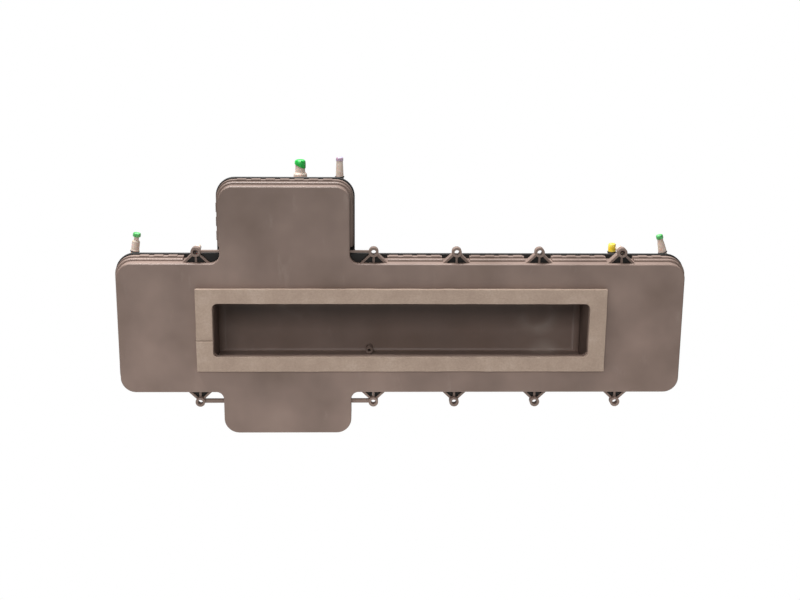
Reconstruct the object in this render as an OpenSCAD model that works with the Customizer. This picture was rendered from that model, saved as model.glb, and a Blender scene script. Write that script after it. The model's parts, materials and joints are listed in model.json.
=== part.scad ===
// Air filter housing: two moulded shells with a tower, a long slot with a foam seal,
// ten screw ears and five capped hose nipples. Millimetres.
// X runs along the housing, Y from the front to the back and Z up.
// The origin is the middle of the slot's mouth, on the front face of its foam seal.

/* [Body] */
// Length of the body along X
body_w = 600; // [500:1:720]
// Height of the body
body_h = 142; // [118:1:170]
// Height of the body's middle above the slot's middle
body_mid_z = 0.5; // [0:0.5:2]
// Corner radius of the body's outline
body_r = 16; // [13:1:19]
// Wall thickness of both shells
wall = 2.5; // [2:0.1:3]

/* [Tower and bump] */
// Width of the tower
tower_w = 136.5; // [114:0.5:164]
// X of the tower's middle
tower_x = -123; // [-130:1:-110]
// Height of the tower above the body
tower_rise = 82; // [74:1:98]
// Corner radius of the tower
tower_r = 15; // [12:1:18]
// Inside corner radius between tower and body
tower_blend_r = 10; // [8:1:12]
// Width of the bump under the body
bump_w = 137; // [114:0.5:164]
// X of the bump's middle
bump_x = -122; // [-126:1:-110]
// Depth of the bump below the body
bump_drop = 46.4; // [39:0.1:56]
// Corner radius of the bump
bump_r = 16; // [13:1:19]
// Inside corner radius between bump and body
bump_blend_r = 8; // [6:1:9]

/* [Shell joint] */
// Depth of the front shell behind its face
front_d = 28; // [26:0.5:33]
// Depth of the rear shell behind the seal
rear_d = 42; // [40:1:50]
// Thickness of the black seal between the shells
seal_t = 4; // [3.3:0.1:4.8]
// How far the seal stands out past the shell walls
seal_out = 5; // [4.2:0.1:6]
// How far the rear shell's wall stands in from the front shell's
rear_inset = 5; // [4:0.1:6]
// Distance from the front face to the rim
rim_back = 12; // [10:0.5:13]
// Thickness of the rim
rim_t = 5; // [4:0.5:6]
// How far the rim stands out
rim_out = 2.5; // [2:0.1:3]
// How far the clip lugs stand out
lug_out = 4.3; // [4.1:0.1:4.6]
// How far the ledge between the clip lugs stands out
ledge_out = 3.7; // [3:0.1:4]
// Depth of the clip lugs
lug_d = 7; // [6:0.5:8]
// Length of one clip lug
lug_len = 9.5; // [8:0.5:11]
// Gap between two clip lugs
lug_gap = 5.5; // [4.5:0.5:6.5]
// Thickness of the rear shell's flange
flange_t = 4; // [3:0.5:5]
// How far the rear shell's flange stands out
flange_out = 3.5; // [2.5:0.5:4]

/* [Slot] */
// Width of the slot
slot_w = 399; // [333:1:420]
// Height of the slot
slot_h = 58.5; // [49:0.5:70]
// Corner radius of the slot
slot_r = 5; // [4:0.5:6]
// Depth of the slot's lip behind the front face
lip_d = 4.5; // [4:0.1:5.5]
// Wall thickness of the lip
lip_t = 2; // [1.7:0.1:2.4]
// Thickness of the foam seal
gasket_t = 6; // [5:0.1:7.2]
// Width of the foam strip at the slot's ends
strip_end = 18.3; // [15.3:0.1:22]
// Width of the foam strip above and below the slot
strip_long = 16.3; // [13.6:0.1:19.5]
// Thickness of the duct's walls
duct_t = 2; // [1.7:0.1:2.4]
// Width of the foot that holds a duct wall on the front shell
duct_foot = 8; // [6.7:0.1:9.6]
// Depth of the shelf along the foot of the back wall
shelf_d = 22; // [18:1:26]
// Corner radius between the end walls and the back wall
duct_r = 8; // [6.5:0.5:9.5]

/* [Ears] */
// Number of ears to the right of the tower, along each long edge
ear_count = 4; // [3:1:4]
// Distance from the tower's side to the first ear
ear_gap = 25; // [21:0.5:30]
// Pitch of the ears to the right of the tower
ear_pitch = 87.5; // [73:0.5:88]
// Distance of the ear's hole outside the body
ear_out = 12; // [11:0.1:14]
// Diameter of the ear's boss
ear_od = 10.3; // [9:0.1:12]
// Diameter of the ear's hole
ear_hole = 5.3; // [4.4:0.1:6.4]
// Distance of the ear's front behind the front face
ear_back = 2.5; // [2:0.1:3]
// Length of the ear's boss
ear_len = 8; // [7:0.5:9.5]
// Thickness of the ear's ribs
rib_t = 2.3; // [1.9:0.1:2.8]
// Distance of the ribs and tie bars behind the ear's front
rib_back = 3.5; // [3:0.1:4.2]
// Depth of the ribs
rib_d = 10; // [8.5:0.5:12]
// Distance of a rib's foot from the ear's middle
rib_foot = 12.5; // [10.5:0.5:15]
// Height of the tie bars beside the bump
bar_h = 3.8; // [3.2:0.1:4.5]
// Height of the tie bars beside the tower
top_bar_h = 2; // [1.7:0.1:2.4]
// Depth of the tie bars
bar_d = 4; // [3.4:0.1:4.4]
// Depth of the black pads between the ribs
pad_d = 8; // [6.5:0.5:8.5]
// Height of the black pads between the outer ears and the tower
pad_h = 9.4; // [8:0.1:10]
// Diameter of the spacer sleeves behind the two outermost upper ears
sleeve_d = 7; // [6.6:0.1:8]

/* [Hose nipples] */
// Distance of the nipples' line behind the front face
nipple_back = 50; // [44:1:56]
// Distance of the left nipple from the body's left end
left_in = 12.5; // [11:0.5:15]
// Lean of the left nipple towards the middle
left_lean = 9; // [0:1:11]
// Distance of the right nipple from the body's right end
right_in = 13.7; // [11:0.1:16.4]
// Lean of the right nipple towards the middle
right_lean = 14; // [0:1:16]
// Distance of the breather nipple from the tower's middle
breather_off = 15; // [12:0.5:18]
// Distance of the tap nipple from the tower's middle
tap_off = 57; // [47:0.5:58]
// Distance of the short nipple from the body's right end
short_in = 69.6; // [58:0.1:83]
// Diameter of the stem that goes through the wall
stem_d = 5; // [4.2:0.1:6]
// Bore of the nipples
nipple_bore = 2.6; // [2.2:0.1:3.1]
// Height of the seats above the rear shell's wall
seat_h = 6.5; // [5.5:0.1:7.8]
// Thickness of the rubber ring under a nipple
ring_t = 1.2; // [1:0.1:1.4]
// Radial clearance of caps on nipples
cap_gap = 0.08; // [0.05:0.01:0.1]

/* [Filter] */
// Gap between the filter and the tower's walls
filter_gap = 5; // [4:0.5:6]
// Gap between the filter's lower edge and the top of the body
filter_lift = 8; // [6.7:0.1:9.6]
// Depth of the filter's frame
filter_d = 20; // [17:0.5:24]
// Depth of the collar that the filter seals against
collar_d = 15.5; // [14.5:0.5:17]
// Thickness of the filter's seal
filter_seal_t = 4; // [3.3:0.1:4.8]
// Width of the filter's seal
filter_seal_w = 5; // [4.2:0.1:6]
// Distance between two pleats
pleat_pitch = 6; // [5:0.5:7]
// Thickness of the pleated paper
paper_t = 0.8; // [0.7:0.1:1]
// Thickness of the screen behind the filter
screen_t = 1.5; // [1.2:0.1:1.8]

/* [Outlet] */
// Outer diameter of the outlet spigot
spigot_d = 54; // [45:0.5:56]
// Wall thickness of the spigot
spigot_wall = 3; // [2.5:0.1:3.6]
// Length of the spigot behind its flange
spigot_len = 22; // [18:1:26]
// Side of the spigot's square flange
spigot_flange = 66; // [64:1:68]
// Thickness of the spigot's flange
spigot_flange_t = 4; // [3.4:0.1:4.8]
// Distance of the screws from the spigot's axis along X and Z
screw_off = 27.5; // [26:0.5:28]
// Diameter of the outlet screws
screw_d = 4; // [3.4:0.1:4.8]

/* [Hidden] */
$fn = 48;
// Overlap that makes a cut pass clean through a face
eps = 0.5;
// How deep lugs, ribs and bars are rooted in the wall
root = 1.2;
// Small clearance between pieces that only touch
touch = 0.1;
// Clearance of stems and screws in their holes
fit_gap = 0.05;
// Clearance between pieces that move apart
body_gap = 0.4;

// Places along Y
face_y = gasket_t;
joint_y = face_y + front_d;
rear_y0 = joint_y + seal_t;
rear_y1 = rear_y0 + rear_d;
rear_in = rear_y1 - wall;
nipple_y = face_y + nipple_back;

// Places along Z and X
body_x1 = body_w / 2;
body_z0 = body_mid_z - body_h / 2;
body_z1 = body_mid_z + body_h / 2;
tower_x0 = tower_x - tower_w / 2;
tower_x1 = tower_x + tower_w / 2;
tower_z1 = body_z1 + tower_rise;
bump_x0 = bump_x - bump_w / 2;
bump_x1 = bump_x + bump_w / 2;
bump_z0 = body_z0 - bump_drop;
ear_xs = concat([tower_x0 - ear_gap], [for (i = [0:ear_count - 1]) tower_x1 + ear_gap + i * ear_pitch]);

// Distance of the rear shell's inner face from the housing's outline
rear_wall = rear_inset + wall;
// The filter's outer rectangle, inside the tower
filter_x0 = tower_x0 + rear_wall + filter_gap;
filter_x1 = tower_x1 - rear_wall - filter_gap;
filter_z0 = body_z1 + filter_lift;
filter_z1 = tower_z1 - rear_wall - filter_gap;
collar_y = rear_in - collar_d;
frame_y1 = collar_y - filter_seal_t;
frame_y0 = frame_y1 - filter_d;
ledge = 2;
ledge_d = 6;
screen_y1 = rear_in - ledge_d;
outlet_z = (filter_z0 + filter_z1) / 2;

// A small hollow boss on the inside of the back wall
boss_x = -34;
boss_z = -41.5;
boss_od = 8;
boss_hole = 3.2;
boss_len = 12;

shell_colour = "#85736a";
rear_colour = "#7a6a61";
foam_colour = "#a49284";
rubber_colour = "#1d1b1a";
nipple_colour = "#cdb9aa";

// ---- outline ----

// Rectangle with round corners
module round_rect(x0, x1, z0, z1, r) {
    translate([x0 + r, z0]) square([x1 - x0 - 2 * r, z1 - z0]);
    translate([x0, z0 + r]) square([x1 - x0, z1 - z0 - 2 * r]);
    for (x = [x0 + r, x1 - r])
        for (z = [z0 + r, z1 - r])
            translate([x, z]) circle(r);
}

// Round inside corner at (x, z) that opens towards sx, sz
module inside_corner(x, z, r, sx, sz) {
    translate([x, z]) difference() {
        translate([sx > 0 ? -root : -r, sz > 0 ? -root : -r]) square(r + root);
        translate([sx * r, sz * r]) circle(r);
    }
}

// The housing seen from the front, grown outwards by g
module outline(g, with_bump) {
    round_rect(-body_x1 - g, body_x1 + g, body_z0 - g, body_z1 + g, body_r + g);
    round_rect(tower_x0 - g, tower_x1 + g, body_mid_z, tower_z1 + g, tower_r + g);
    inside_corner(tower_x0 - g, body_z1 + g, tower_blend_r - g, -1, 1);
    inside_corner(tower_x1 + g, body_z1 + g, tower_blend_r - g, 1, 1);
    if (with_bump) {
        round_rect(bump_x0 - g, bump_x1 + g, bump_z0 - g, body_mid_z, bump_r + g);
        inside_corner(bump_x0 - g, body_z0 - g, bump_blend_r - g, -1, -1);
        inside_corner(bump_x1 + g, body_z0 - g, bump_blend_r - g, 1, -1);
    }
}

// A flat shape in X and Z, made solid from y0 to y1
module slab(y0, y1) {
    translate([0, y1, 0]) rotate([90, 0, 0]) linear_extrude(y1 - y0) children();
}

// A cylinder along Y
module rod_y(x, z, y0, y1, d) {
    translate([x, y1, z]) rotate([90, 0, 0]) cylinder(h = y1 - y0, d = d);
}

// A box given by its six faces
module block(x0, x1, y0, y1, z0, z1) {
    translate([x0, y0, z0]) cube([x1 - x0, y1 - y0, z1 - z0]);
}

// ---- front shell ----

ear_y0 = face_y + ear_back;
ear_y1 = ear_y0 + ear_len;
// Front of the ribs and the tie bars, behind the round front edge of the shell
rib_y0 = ear_y0 + rib_back;
rib_y1 = rib_y0 + rib_d;
// Half width of the stretch at each ear that has no rim and no lugs
ear_clear = rib_foot + rib_t;

// One rib from the wall at dx to the boss, grown by g, drawn for an ear on the top edge
module ear_rib(dx, g) {
    reach = norm([dx, ear_out]);
    rotate([0, atan2(dx, ear_out), 0])
        block(-rib_t / 2 - g, rib_t / 2 + g, rib_y0 - g, rib_y1 + g, -reach - root, -ear_od / 2 + 1);
}

// An ear without its hole; up is 1 on the top edge and -1 on the bottom edge
module ear(x, z, up) {
    translate([x, 0, z]) scale_z(up) {
        rod_y(0, 0, ear_y0, ear_y1, ear_od);
        for (dx = [-rib_foot, 0, rib_foot]) ear_rib(dx, 0);
    }
}

// Turns a piece of the top edge over for the bottom edge
module scale_z(up) {
    if (up > 0) children();
    else mirror([0, 0, 1]) children();
}

function edge_z(up) = up > 0 ? body_z1 : body_z0;
function ear_z(up) = edge_z(up) + up * ear_out;

// Tie bars from the ears to the tower at the top and to the bump at the bottom
module tie_bar(x0, x1, up) {
    h = up > 0 ? top_bar_h : bar_h;
    block(x0, x1, rib_y0, rib_y0 + bar_d, ear_z(up) - h / 2, ear_z(up) + h / 2);
}

// A row of clip lugs centred on a straight edge, from a to b; at turns it to its place
module lug_row(a, b) {
    pitch = lug_len + lug_gap;
    count = floor((b - a + lug_gap) / pitch);
    start = (a + b - count * pitch + lug_gap) / 2;
    if (count > 0)
        for (i = [0:count - 1])
            block(start + i * pitch, start + i * pitch + lug_len,
                rim_end, rim_end + lug_d, -root, lug_out);
}

rim_end = face_y + rim_back + rim_t + 1.2;

// Clip lugs on the long edges between the ears, and on the tower's top and left side
module lugs() {
    for (up = [1, -1]) translate([0, 0, edge_z(up)]) scale_z(up) {
        lug_row(-body_x1 + body_r, ear_xs[0] - ear_clear);
        for (i = [1:ear_count - 1]) lug_row(ear_xs[i] + ear_clear, ear_xs[i + 1] - ear_clear);
        lug_row(ear_xs[ear_count] + ear_clear, body_x1 - body_r);
    }
    translate([0, 0, tower_z1]) lug_row(tower_x0 + tower_r, tower_x1 - tower_r);
    translate([tower_x0, 0, 0]) rotate([0, -90, 0])
        lug_row(body_z1 + ear_out + bar_h, tower_z1 - tower_r);
}

// A ring from y0 to y1 that stands out by out, open at the ears and tie bars
module rim(y0, y1, out) {
    difference() {
        slab(y0, y1) outline(out, false);
        for (up = [1, -1]) {
            for (x = ear_xs) translate([x, 0, edge_z(up)]) scale_z(up)
                block(-ear_clear, ear_clear, face_y, joint_y, 0, out + eps);
            translate([0, 0, edge_z(up)]) scale_z(up) {
                block(ear_xs[0], tower_x0, face_y, joint_y, 0, ear_out + bar_h);
                block(tower_x1, ear_xs[1], face_y, joint_y, 0, ear_out + bar_h);
            }
        }
    }
}

module slot_shape(g) {
    round_rect(-slot_w / 2 - g, slot_w / 2 + g, -slot_h / 2 - g, slot_h / 2 + g, slot_r + g);
}

// Posts inside the tower that hold the filter's frame against its seal
post_s = 6;
module filter_posts() {
    for (x = [filter_x0, filter_x1 - post_s])
        for (z = [filter_z0, filter_z1 - post_s])
            block(x, x + post_s, face_y + wall - root, frame_y0 - touch, z, z + post_s);
}

module front_shell() color(shell_colour) {
    difference() {
        union() {
            slab(face_y, joint_y) outline(0, true);
            rim(face_y + rim_back, face_y + rim_back + rim_t, rim_out);
            rim(rim_end, rim_end + lug_d, ledge_out);
            lugs();
            for (up = [1, -1]) {
                for (x = ear_xs) ear(x, ear_z(up), up);
                side_x0 = up > 0 ? tower_x0 : bump_x0;
                side_x1 = up > 0 ? tower_x1 : bump_x1;
                tie_bar(ear_xs[0], side_x0 + root, up);
                tie_bar(side_x1 - root, ear_xs[1], up);
            }
        }
        slab(face_y + wall, joint_y - wall) outline(-wall, true);
        slab(joint_y - 2 * wall, joint_y + eps) outline(-wall, false);
        slab(face_y - eps, joint_y) slot_shape(0);
        for (up = [1, -1])
            for (x = ear_xs) rod_y(x, ear_z(up), ear_y0 - eps, joint_y, ear_hole);
    }
    difference() {
        slab(face_y + wall - root, face_y + lip_d) slot_shape(lip_t);
        slab(face_y, face_y + lip_d + eps) slot_shape(0);
    }
    filter_posts();
}

// The black pads in the pockets between the ribs, and from the outer ribs to the tower
module ear_pads() color(rubber_colour) {
    pad_y0 = rib_y0 + 1.5;
    for (up = [1, -1]) for (i = [0:ear_count]) translate([ear_xs[i], 0, ear_z(up)]) scale_z(up) difference() {
        slab(pad_y0, pad_y0 + pad_d) polygon([[-rib_foot, touch - ear_out],
            [rib_foot, touch - ear_out], [0, 0]]);
        rod_y(0, 0, face_y, joint_y, ear_od + 2 * touch);
        for (dx = [-rib_foot, 0, rib_foot]) ear_rib(dx, touch);
    }
    for (side = [-1, 1]) {
        ear_x = side < 0 ? ear_xs[0] : ear_xs[1];
        tower_side = tower_x + side * tower_w / 2;
        difference() {
            block(min(ear_x, tower_side), max(ear_x, tower_side), pad_y0, pad_y0 + pad_d,
                body_z1 + touch, body_z1 + pad_h);
            slab(face_y, joint_y) outline(touch, false);
            translate([ear_x, 0, ear_z(1)]) slab(face_y, joint_y)
                polygon([[-rib_foot - rib_t, -ear_out], [rib_foot + rib_t, -ear_out], [0, rib_t]]);
            rod_y(ear_x, ear_z(1), face_y, joint_y, ear_od + 2 * touch);
        }
    }
}

// Spacer sleeves behind the two outermost upper ears
module ear_sleeves() color(nipple_colour) for (x = [ear_xs[0], ear_xs[ear_count]]) difference() {
    rod_y(x, ear_z(1), ear_y1, joint_y - 1, sleeve_d);
    rod_y(x, ear_z(1), ear_y1 - eps, joint_y, ear_hole);
}

module slot_gasket() color(foam_colour) {
    end_x = slot_w / 2 + strip_end;
    edge = slot_h / 2 + strip_long;
    difference() {
        slab(0, gasket_t) translate([-end_x, -edge]) square([2 * end_x, 2 * edge]);
        slab(-eps, gasket_t + eps) slot_shape(0);
    }
}

// ---- rear shell and seal ----

// A ring between the filter's outer rectangle and one wall_w inside it
module filter_ring(y0, y1, wall_w) {
    difference() {
        block(filter_x0, filter_x1, y0, y1, filter_z0, filter_z1);
        block(filter_x0 + wall_w, filter_x1 - wall_w, y0 - eps, y1 + eps,
            filter_z0 + wall_w, filter_z1 - wall_w);
    }
}

// Puts a nipple or its cap on its seat: x, height of the wall there, lean to the right
module on_seat(x, z, lean) {
    translate([x, nipple_y, z]) rotate([0, lean, 0]) children();
}

left_x = -body_x1 + left_in;
right_x = body_x1 - right_in;
breather_x = tower_x + breather_off;
tap_x = tower_x + tap_off;
short_x = body_x1 - short_in;
body_seat = body_z1 - rear_inset + seat_h;
tower_seat = tower_z1 - rear_inset + seat_h;
seat_d = 8.5;
breather_seat_d = 13.5;
// Depth of a seat: down through the wall, or into the round corner where it leans
seat_depth = seat_h + wall + 1;
corner_depth = seat_depth + 4;
// How far a nipple's stem comes out below its seat
stem_over = 1;
// Each seat: x, height, lean, diameter, depth
SEATS = [[left_x, body_seat, left_lean, seat_d, corner_depth],
    [right_x, body_seat, -right_lean, seat_d, corner_depth],
    [breather_x, tower_seat, 0, breather_seat_d, seat_depth],
    [tap_x, tower_seat, 0, seat_d, seat_depth], [short_x, body_seat, 0, seat_d, seat_depth]];

// The five seats, each grown by g at both ends, of its own diameter or of one given
module seats(g, d) {
    for (s = SEATS) on_seat(s[0], s[1], s[2]) translate([0, 0, -s[4] - g])
        cylinder(h = s[4] + 2 * g, d = is_undef(d) ? s[3] : d);
}

module screw_places() {
    for (x = [tower_x - screw_off, tower_x + screw_off])
        for (z = [outlet_z - screw_off, outlet_z + screw_off])
            translate([x, 0, z]) children();
}

module rear_shell() color(rear_colour) {
    difference() {
        union() {
            slab(rear_y0, rear_y1) outline(-rear_inset, false);
            slab(rear_y0, rear_y0 + flange_t) outline(flange_out, false);
            seats(0);
        }
        difference() {
            slab(rear_y0 - eps, rear_in) outline(-rear_wall, false);
            seats(0);
            difference() {
                rod_y(boss_x, boss_z, rear_in - boss_len, rear_in, boss_od);
                rod_y(boss_x, boss_z, rear_in - boss_len - eps, rear_in, boss_hole);
            }
        }
        seats(stem_over + eps, stem_d + 2 * fit_gap);
        rod_y(tower_x, outlet_z, rear_in - eps, rear_y1 + eps, spigot_d - 2 * spigot_wall);
        screw_places() rod_y(0, 0, rear_in - eps, rear_y1 + eps, screw_d + 2 * fit_gap);
    }
}

// ---- duct behind the slot ----

// x of the inner faces of the duct's end walls, and the upper face of its shelf
duct_x = slot_w / 2 + lip_t + touch;
shelf_z = boss_z - boss_od / 2 - 2 * touch;

// The two end walls, each on a foot that is glued to the front shell
module duct_ends() color(shell_colour) for (side = [0, 1]) mirror([side, 0, 0]) {
    y0 = face_y + wall;
    z0 = shelf_z - duct_t;
    z1 = body_z1 - rear_wall - body_gap;
    block(duct_x, duct_x + duct_t, y0, rear_in - body_gap, z0, z1);
    block(duct_x, duct_x + duct_foot, y0, y0 + duct_t, z0, z1);
}

// The shelf at the foot of the back wall, with the duct's round corners
module duct_shelf() color(rear_colour) {
    x1 = duct_x - body_gap;
    z0 = shelf_z - duct_t;
    shelf_r = 3;
    difference() {
        union() {
            block(-x1, x1, rear_in - shelf_d, rear_in, z0, shelf_z);
            translate([0, 0, shelf_z]) rotate([90, 0, 90]) translate([0, 0, -x1]) linear_extrude(2 * x1)
                inside_corner(rear_in, 0, shelf_r, -1, 1);
            translate([0, 0, z0]) linear_extrude(body_z1 - rear_wall - z0) {
                inside_corner(-x1, rear_in, duct_r, 1, -1);
                inside_corner(x1, rear_in, duct_r, -1, -1);
            }
        }
        block(-body_x1, -x1, face_y, rear_y1, body_z0, body_z1);
        block(x1, body_x1, face_y, rear_y1, body_z0, body_z1);
        block(-body_x1, body_x1, rear_in, rear_y1, body_z0, body_z1);
        rod_y(boss_x, boss_z, rear_in - shelf_d, rear_y1, boss_od + 2 * touch);
    }
}

module perimeter_seal() color(rubber_colour) difference() {
    slab(joint_y + touch / 2, rear_y0) outline(seal_out, false);
    slab(joint_y - eps, rear_y0 + eps) outline(-wall, false);
}

// ---- filter ----

module filter_frame() color("#3f4447") {
    filter_ring(frame_y0, frame_y1, wall);
    for (i = [1:2]) {
        x = filter_x0 + (filter_x1 - filter_x0) * i / 3;
        block(x - wall / 2, x + wall / 2, frame_y0, frame_y0 + wall,
            filter_z0 + wall - touch, filter_z1 - wall + touch);
    }
}

// Pleated paper: one zigzag sheet that fills the frame
module filter_media() color("#d9cfa8") {
    x0 = filter_x0 + wall + touch;
    x1 = filter_x1 - wall - touch;
    folds = 2 * floor((x1 - x0) / pleat_pitch);
    y0 = frame_y0 + wall + touch;
    y1 = frame_y1 - 1;
    step = (x1 - x0) / folds;
    // The paper's thickness measured along Y, across its steep folds
    rise = paper_t * norm([step, y1 - y0]) / step;
    front = [for (i = [0:folds]) [x0 + i * step, i % 2 == 0 ? y0 : y1 - rise]];
    back = [for (i = [folds:-1:0]) [x0 + i * step, i % 2 == 0 ? y0 + rise : y1]];
    translate([0, 0, filter_z0 + wall + touch])
        linear_extrude(filter_z1 - filter_z0 - 2 * (wall + touch)) polygon(concat(front, back));
}

// The ring that the filter's seal presses on, held with the spigot by the outlet screws
module filter_collar() color(rear_colour) difference() {
    union() {
        filter_ring(collar_y, rear_in, wall);
        filter_ring(screen_y1, rear_in, wall + ledge);
        screw_places() rod_y(0, 0, screen_y1 + touch, rear_in, 2 * screw_d);
    }
    screw_places() rod_y(0, 0, screen_y1 + 1, rear_in + eps, screw_d + 2 * fit_gap);
}

module filter_seal() color("#c8642f") filter_ring(frame_y1, collar_y - touch / 2, filter_seal_w);

module filter_screen() color("#8d9092") {
    x0 = filter_x0 + wall + touch;
    x1 = filter_x1 - wall - touch;
    z0 = filter_z0 + wall + touch;
    z1 = filter_z1 - wall - touch;
    edge = 3;
    columns = 12;
    rows = 6;
    bar = 1.6;
    hole_x = (x1 - x0 - 2 * edge + bar) / columns;
    hole_z = (z1 - z0 - 2 * edge + bar) / rows;
    difference() {
        block(x0, x1, screen_y1 - screen_t, screen_y1, z0, z1);
        for (i = [0:columns - 1])
            for (j = [0:rows - 1])
                translate([x0 + edge + i * hole_x, 0, z0 + edge + j * hole_z])
                    block(0, hole_x - bar, screen_y1 - screen_t - eps, screen_y1 + eps, 0, hole_z - bar);
    }
}

// ---- outlet ----

groove_d = 1.8;
ring_w = 3.5;

module outlet_spigot() color("#6d5f57") {
    half = spigot_flange / 2;
    y1 = rear_y1 + spigot_flange_t;
    difference() {
        union() {
            slab(rear_y1, y1) round_rect(tower_x - half, tower_x + half,
                outlet_z - half, outlet_z + half, screw_d);
            rod_y(tower_x, outlet_z, rear_y1, y1 + spigot_len, spigot_d);
        }
        rod_y(tower_x, outlet_z, rear_y1 - eps, y1 + spigot_len + eps, spigot_d - 2 * spigot_wall);
        rod_y(tower_x, outlet_z, rear_y1 - eps, rear_y1 + groove_d, spigot_d + 2 * ring_w);
        screw_places() rod_y(0, 0, rear_y1 - eps, y1 + eps, screw_d + 2 * fit_gap);
    }
}

module outlet_seal() color(rubber_colour) difference() {
    rod_y(tower_x, outlet_z, rear_y1, rear_y1 + groove_d, spigot_d + 2 * ring_w - 2 * touch);
    rod_y(tower_x, outlet_z, rear_y1 - eps, rear_y1 + groove_d + eps, spigot_d - 2 * spigot_wall);
}

module outlet_screws() color("#9a9c9e") screw_places() {
    y1 = rear_y1 + spigot_flange_t;
    rod_y(0, 0, screen_y1 + 1.5, y1 + 1, screw_d);
    difference() {
        rod_y(0, 0, y1, y1 + 3, 1.9 * screw_d);
        block(-0.6, 0.6, y1 + 2, y1 + 3 + eps, -2.2, 2.2);
        block(-2.2, 2.2, y1 + 2, y1 + 3 + eps, -0.6, 0.6);
    }
}

// ---- hose nipples and caps ----

// A nipple on a seat of the given depth: steps holds [bottom diameter, top diameter, length] of each stage
module nipple(steps, depth) {
    stem = depth + stem_over;
    bottom = [for (i = 0, z = ring_t; i < len(steps); z = z + steps[i][2], i = i + 1) z];
    difference() {
        union() {
            translate([0, 0, -stem]) cylinder(h = stem + ring_t + 1, d = stem_d);
            for (i = [0:len(steps) - 1])
                translate([0, 0, bottom[i]]) cylinder(h = steps[i][2], d1 = steps[i][0], d2 = steps[i][1]);
        }
        translate([0, 0, -stem - eps]) cylinder(h = 60, d = nipple_bore);
    }
}

// A cap of diameter d and height h, bored to slip over a nipple end of diameter tip
module cap(d, h, tip, deep) {
    difference() {
        cylinder(h = h, d = d);
        translate([0, 0, -eps]) cylinder(h = deep + eps, d = tip + 2 * cap_gap);
    }
}

// Sizes of the nipples' stages
left_body_d = 9.1;
left_body_h = 11;
neck_d = 5.3;
neck_h = 8.2;
left_cap_z = 16.9;
left_cap_d = 8.4;
left_cap_h = 4.5;
right_base_d = 8.9;
right_tip_d = 6.3;
right_h = 18;
right_cap_z = 16;
right_cap_d = 7.6;
right_cap_h = 4.7;
breather_base_d = 14.5;
breather_base_h = 3.8;
breather_d = 10.4;
breather_h = 13;
breather_cap_d = 11.8;
breather_cap_h = 9.3;
tap_base_d = 8.3;
tap_tip_d = 7;
tap_h = 16.4;
tap_end_d = 5.6;
tap_end_h = 3.4;
tap_cap_d = 7.8;
tap_cap_h = 4.1;
short_d = 6;
short_h = 8;
short_cap_d = 8.6;
short_cap_h = 9.3;

module nipple_left() color(nipple_colour) on_seat(left_x, body_seat, left_lean)
    nipple([[left_body_d, left_body_d, left_body_h], [neck_d, neck_d, neck_h]], corner_depth);

// The right nipple tapers, and its straight end carries the cap
right_end_h = 3.8;
module nipple_right() color(nipple_colour) on_seat(right_x, body_seat, -right_lean)
    nipple([[right_base_d, right_tip_d, right_cap_z - ring_t], [neck_d, neck_d, right_end_h]], corner_depth);

module nipple_breather() color(nipple_colour) on_seat(breather_x, tower_seat, 0)
    nipple([[breather_base_d, breather_base_d, breather_base_h], [breather_d, breather_d, breather_h]],
        seat_depth);

module nipple_tap() color(nipple_colour) on_seat(tap_x, tower_seat, 0)
    nipple([[tap_base_d, tap_tip_d, tap_h], [tap_end_d, tap_end_d, tap_end_h]], seat_depth);

module nipple_short() color(nipple_colour) on_seat(short_x, body_seat, 0)
    nipple([[short_d, short_d, short_h]], seat_depth);

// The rubber rings under the five nipples
module nipple_rings() color(rubber_colour) for (s = SEATS) on_seat(s[0], s[1], s[2]) difference() {
    cylinder(h = ring_t, d = s[3] + 1);
    translate([0, 0, -eps]) cylinder(h = ring_t + 2 * eps, d = stem_d + 2 * fit_gap);
}

module cap_left() color("#63bd6b") on_seat(left_x, body_seat, left_lean)
    translate([0, 0, left_cap_z]) cap(left_cap_d, left_cap_h, neck_d, left_cap_h - 1);

module cap_right() color("#63bd6b") on_seat(right_x, body_seat, -right_lean)
    translate([0, 0, right_cap_z + touch]) cap(right_cap_d, right_cap_h, neck_d, right_cap_h - 0.9);

// The breather's cap has a skirt that is longer on the right
breather_cap_top = ring_t + breather_base_h + breather_h + 1;
breather_slant = 25;
module cap_breather() color("#35b04c") on_seat(breather_x, tower_seat, 0) difference() {
    translate([0, 0, breather_cap_top - breather_cap_h])
        cap(breather_cap_d, breather_cap_h, breather_d, breather_cap_h - 1);
    translate([-breather_cap_d / 2, 0, breather_cap_top - breather_cap_h / 2]) rotate([0, breather_slant, 0])
        block(-breather_cap_d, 2 * breather_cap_d, -breather_cap_d, breather_cap_d, -breather_cap_h * 2, 0);
}

module cap_tap() color("#b9a5b5") on_seat(tap_x, tower_seat, 0)
    translate([0, 0, ring_t + tap_h + touch]) cap(tap_cap_d, tap_cap_h, tap_end_d, tap_cap_h - 0.6);

module cap_short() color("#f3d544") on_seat(short_x, body_seat, 0)
    translate([0, 0, ring_t + touch]) cap(short_cap_d, short_cap_h, short_d, short_cap_h - 1.2);

front_shell();
slot_gasket();
rear_shell();
perimeter_seal();
duct_ends();
duct_shelf();
ear_pads();
ear_sleeves();
filter_frame();
filter_media();
filter_seal();
filter_collar();
filter_screen();
outlet_spigot();
outlet_seal();
outlet_screws();
nipple_left();
nipple_breather();
nipple_tap();
nipple_short();
nipple_right();
nipple_rings();
cap_left();
cap_breather();
cap_tap();
cap_short();
cap_right();
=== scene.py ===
# %% [markdown]
# # An air filter housing in Blender
# The housing is a long box of moulded plastic in two shells, with a tower on its top
# edge, a slot with a foam seal in its front and five capped hose nipples. The shapes
# that fit together come from the CAD frame. This lesson gives each of them its real
# edges and its real surface, and models by hand what the frame only blocks out.

# %% Load the frame
import json
import math

import bpy
from mathutils import Matrix, Vector


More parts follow.
